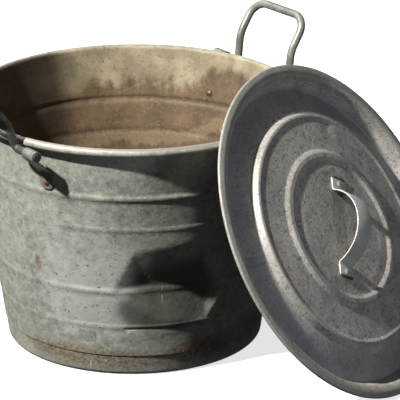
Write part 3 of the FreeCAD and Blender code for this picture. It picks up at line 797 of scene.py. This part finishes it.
def inside_scale(finish):
    """Colour of the inner face: pale lime scale above the boiling line, tan and brown scale below it."""
    patch = finish.noise(0.045, 11.0, 5.0, 0.68)
    grain = finish.noise(0.009, 12.0, 6.0, 0.75)
    streaks = finish.noise(0.016, 13.0, 4.0, 0.6, finish.stretched(1.0, 1.0, 0.16))
    grit = finish.noise(0.0032, 14.0, 2.0, 0.65)
    cream = finish.blend(finish.between(patch, 0.38, 0.64), tone(140, 129, 104), tone(176, 163, 136))
    cream = finish.blend(finish.between(grain, 0.45, 0.33, 0.0, 0.75), cream, tone(98, 84, 60))
    brown = finish.blend(finish.between(patch, 0.36, 0.66), tone(98, 82, 62), tone(128, 107, 81))
    brown = finish.blend(finish.between(grain, 0.53, 0.70, 0.0, 0.6), brown, tone(158, 139, 108))
    brown = finish.blend(finish.between(streaks, 0.50, 0.30, 0.0, 0.55), brown, tone(70, 58, 46))
    brown = finish.blend(finish.between(finish.noise(0.03, 15.0, 4.0, 0.6), 0.56, 0.72, 0.0, 0.4), brown,
                         tone(138, 103, 74))
    level = finish.maths("ADD", finish.height(), finish.maths("MULTIPLY", streaks, 0.030))
    level = finish.maths("ADD", level, finish.maths("MULTIPLY", patch, 0.050))
    level = finish.maths("SUBTRACT", level, finish.maths("MULTIPLY", finish.mask("tide"), 0.030))
    above_boiling = finish.between(level, 0.293, 0.309)
    lower_tide = finish.between(level, 0.216, 0.222)
    lower_tide = finish.maths("MULTIPLY", lower_tide, finish.between(level, 0.238, 0.234))
    brown = finish.blend(finish.maths("MULTIPLY", lower_tide, 0.4), brown, tone(156, 138, 108))
    colour = finish.blend(above_boiling, brown, cream)
    colour = finish.blend(finish.between(grit, 0.41, 0.30, 0.0, 0.6), colour, tone(66, 52, 38))
    colour = finish.blend(finish.between(grit, 0.61, 0.73, 0.0, 0.45), colour, tone(192, 176, 144))
    return colour


def pot_finish(name, seed_shift):
    """Whole finish of a pot piece; the seed shift gives each piece its own scratches."""
    finish = Finish(name)
    outside, grain, grit = outside_zinc(finish)
    inside = inside_scale(finish)
    # Painted shade: one side of the inside turns dark brown.
    painted_inside_shade = finish.between(finish.mask("painted_inside_shade"), 0.3, 0.7, 0.0, 0.9)
    inside = finish.blend(painted_inside_shade, inside, tone(52, 42, 30))
    rust_edge = finish.maths("ADD", finish.mask("rust"), finish.maths("MULTIPLY", grain, 0.9))
    rust = finish.between(rust_edge, 0.60, 1.15)
    rust_tone = finish.blend(finish.between(grit, 0.42, 0.58), tone(94, 80, 64), tone(138, 122, 100))
    outside = finish.blend(finish.maths("MULTIPLY", rust, 0.8), outside, rust_tone)
    # Painted shade: the wall in and round the dent turns dark grey.
    painted_dent_shade = finish.between(finish.mask("painted_dent_shade"), 0.1, 0.7, 0.0, 0.85)
    outside = finish.blend(painted_dent_shade, outside, tone(84, 85, 77))
    scratches = finish.noise(0.02, 5.0 + seed_shift, 2.0, 0.5, finish.stretched(5.0, 5.0, 0.35))
    scratch = finish.between(scratches, 0.66, 0.72, 0.0, 0.45)
    outside = finish.blend(scratch, outside, tone(214, 213, 204))
    colour = finish.blend(finish.mask("inside"), outside, inside)
    # The rim's worn line, partly wear and partly a painted highlight, turns pale beige.
    worn_edge = finish.maths("ADD", finish.mask("worn"), finish.maths("MULTIPLY", grain, 0.7))
    worn = finish.between(worn_edge, 0.85, 1.35)
    colour = finish.blend(worn, colour, tone(162, 152, 139))
    finish.relief(grit, 0.00022)
    finish.relief(grain, 0.0007)
    dull = finish.maths("MAXIMUM", rust, finish.mask("inside"))
    metallic = finish.maths("MULTIPLY", finish.maths("SUBTRACT", 1.0, dull), 0.28)
    roughness = finish.between(grain, 0.3, 0.7, 0.50, 0.72)
    roughness = finish.maths("SUBTRACT", roughness, finish.maths("MULTIPLY", worn, 0.16))
    return finish.finished(colour, metallic, roughness)


wall.data.materials.append(pot_finish("wall_weathered_zinc", 0.0))
pan.data.materials.append(pot_finish("pan_weathered_zinc", 3.0))


# %% [markdown]
# ## The lid's finish
# The lid is cleaner than the pot and finely speckled all over.  Handling has dulled its flange.  Its rings
# are darkened by painted shade, and its channel by a bluish painted shade.  One plain grey would be quicker,
# but it hides the size of the lid.  So the same noises are used at smaller sizes, and four masks by radius
# say where the lid is dull, dirty at the lip, or darkened by painted shade.

# %% Lid finish: dull, fine-speckled zinc
def lid_finish():
    """Speckled zinc with a dulled flange, and painted shade on the rings and in the channel."""
    finish = Finish("lid_speckled_zinc")
    cloud = finish.noise(0.06, 21.0, 4.0, 0.6)
    grain = finish.noise(0.0075, 22.0, 5.0, 0.75)
    grit = finish.noise(0.0024, 23.0, 3.0, 0.7)
    colour = finish.blend(finish.between(cloud, 0.36, 0.66), tone(176, 172, 164), tone(204, 200, 191))
    colour = finish.blend(finish.between(grain, 0.47, 0.35, 0.0, 0.7), colour, tone(120, 116, 109))
    colour = finish.blend(finish.between(grit, 0.47, 0.35, 0.0, 0.75), colour, tone(106, 102, 97))
    colour = finish.blend(finish.between(grit, 0.54, 0.68, 0.0, 0.8), colour, tone(216, 212, 203))
    # Painted shade darkens the ring crests.
    colour = finish.blend(finish.maths("MULTIPLY", finish.mask("painted_crest_shade"), 0.35), colour, tone(140, 137, 130))
    # Bluish painted shade darkens the channel.
    colour = finish.blend(finish.maths("MULTIPLY", finish.mask("painted_channel_shade"), 0.55), colour, tone(140, 139, 152))
    stain = finish.between(finish.noise(0.035, 24.0, 5.0, 0.7, None, 0.6), 0.56, 0.70, 0.0, 0.5)
    colour = finish.blend(stain, colour, tone(120, 108, 92))
    lip = finish.maths("MULTIPLY", finish.mask("lip"), finish.between(grain, 0.40, 0.62))
    colour = finish.blend(finish.maths("MULTIPLY", lip, 0.7), colour, tone(132, 102, 78))
    worn_edge = finish.maths("ADD", finish.mask("worn"), finish.maths("MULTIPLY", grain, 0.8))
    colour = finish.blend(finish.between(worn_edge, 0.9, 1.5, 0.0, 0.6), colour, tone(150, 149, 142))
    finish.relief(grit, 0.00030)
    finish.relief(grain, 0.0006)
    roughness = finish.between(grain, 0.3, 0.7, 0.48, 0.68)
    return finish.finished(colour, 0.25, roughness)


lid_shell.data.materials.append(lid_finish())


# %% [markdown]
# ## The fittings' finishes
# The strap is rubbed bright along its edges, the bails and ears are dull grey, and the pot's rivets are
# copper.  They need no masks of their own beyond the strap's edge, so one short recipe with two tones,
# bright grit and shallow pitting serves them all.  A rivet's tail inside the wall is covered by scale,
# which a distance from the pot's axis picks out.

# %% Smaller fittings: strap, bails, ears, rivets and the wires inside the rolls
def fitting_finish(name, dark, light, bright, metallic, roughness, seed):
    """Plain metal fitting: two mottled tones, bright grit, shallow pitting."""
    finish = Finish(name)
    cloud = finish.noise(0.025, seed, 4.0, 0.6)
    grain = finish.noise(0.006, seed + 0.5, 5.0, 0.7)
    colour = finish.blend(finish.between(cloud, 0.36, 0.66), dark, light)
    colour = finish.blend(finish.between(grain, 0.46, 0.34, 0.0, 0.5), colour, dark)
    colour = finish.blend(finish.between(grain, 0.58, 0.70, 0.0, 0.6), colour, bright)
    finish.relief(grain, 0.00025)
    rough = finish.between(grain, 0.3, 0.7, roughness - 0.08, roughness + 0.1)
    return finish, colour, metallic, rough


def strap_finish():
    """Worn zinc with bright sheared edges."""
    finish, colour, metallic, rough = fitting_finish(
        "strap_worn_zinc", tone(84, 80, 78), tone(108, 104, 101), tone(164, 161, 156), 0.35, 0.40, 31.0)
    edge = finish.maths("MULTIPLY", finish.mask("edge"), 0.85)
    colour = finish.blend(edge, colour, tone(236, 235, 230))
    return finish.finished(colour, metallic, rough)


strap.data.materials.append(strap_finish())

FITTINGS = {
    "bail": (tone(122, 122, 114), tone(152, 153, 143), tone(184, 184, 175), 0.40, 0.42, 41.0),
    # The left bail takes a darker copy of the bails' tones: painted shade for its side seen in shade.
    "bail_left": (tone(78, 78, 74), tone(106, 106, 100), tone(140, 140, 132), 0.40, 0.46, 42.0),
    "ear": (tone(116, 117, 108), tone(148, 149, 139), tone(180, 179, 168), 0.35, 0.46, 43.0),
    "ear_rivet": (tone(140, 84, 52), tone(192, 120, 80), tone(220, 160, 120), 0.60, 0.46, 45.0),
    "ear_burr": (tone(92, 74, 54), tone(124, 102, 76), tone(150, 128, 98), 0.25, 0.58, 46.0),
    "lid_rivet": (tone(170, 169, 164), tone(206, 205, 200), tone(238, 237, 232), 0.50, 0.36, 47.0),
    "lid_burr": (tone(140, 139, 134), tone(178, 177, 171), tone(206, 205, 200), 0.50, 0.44, 48.0),
    "wire": (tone(110, 106, 98), tone(146, 142, 132), tone(172, 168, 158), 0.60, 0.46, 49.0),
}
fitting_materials = {}
for fitting, recipe in FITTINGS.items():
    finish, colour, metallic, rough = fitting_finish(fitting + "_metal", *recipe)
    if fitting == "ear_rivet":
        inside_wall = finish.between(finish.from_axis(), 0.1935, 0.1925)
        colour = finish.blend(inside_wall, colour, tone(116, 95, 70))
    fitting_materials[fitting] = finish.finished(colour, metallic, rough)


def fitting_of(node):
    """Which fitting a CAD node is, from its name."""
    if node.endswith("wire"):
        return "wire"
    return max((kind for kind in FITTINGS if node.startswith(kind)), key=len)


REPLACED = {"pot_wall", "pot_bottom", "lid_panel", "lid_strap"}
for node, cad_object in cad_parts.items():
    if node not in REPLACED:
        cad_object.data.materials.clear()
        cad_object.data.materials.append(fitting_materials[fitting_of(node)])
        print(node, "->", fitting_of(node))

# %% [markdown]
# ## Floor
# A plain pale floor, large enough for every view.  It glows by itself, so shadows on it are faint, and it
# doesn't send light back up: bounce from a white floor would fill in the shadows that show the pot's form.

# %% Floor
FLOOR_HALF = 9.0
floor_mesh = bpy.data.meshes.new("floor")
corners = [(-FLOOR_HALF, -FLOOR_HALF, 0.0), (FLOOR_HALF, -FLOOR_HALF, 0.0), (FLOOR_HALF, FLOOR_HALF, 0.0),
           (-FLOOR_HALF, FLOOR_HALF, 0.0)]
floor_mesh.from_pydata(corners, [], [(0, 1, 2, 3)])
floor = bpy.data.objects.new("floor", floor_mesh)
bpy.context.scene.collection.objects.link(floor)
floor_finish = Finish("pale_floor")
floor_cloud = floor_finish.noise(0.8, 61.0, 3.0, 0.5)
floor_colour = floor_finish.blend(floor_cloud, tone(226, 226, 224), tone(238, 238, 236))
floor_finish.surface.inputs["Emission Color"].default_value = (1.0, 1.0, 1.0, 1.0)
floor_finish.surface.inputs["Emission Strength"].default_value = 0.75
floor_mesh.materials.append(floor_finish.finished(floor_colour, 0.0, 0.85))
floor.visible_diffuse = False
floor.visible_glossy = False
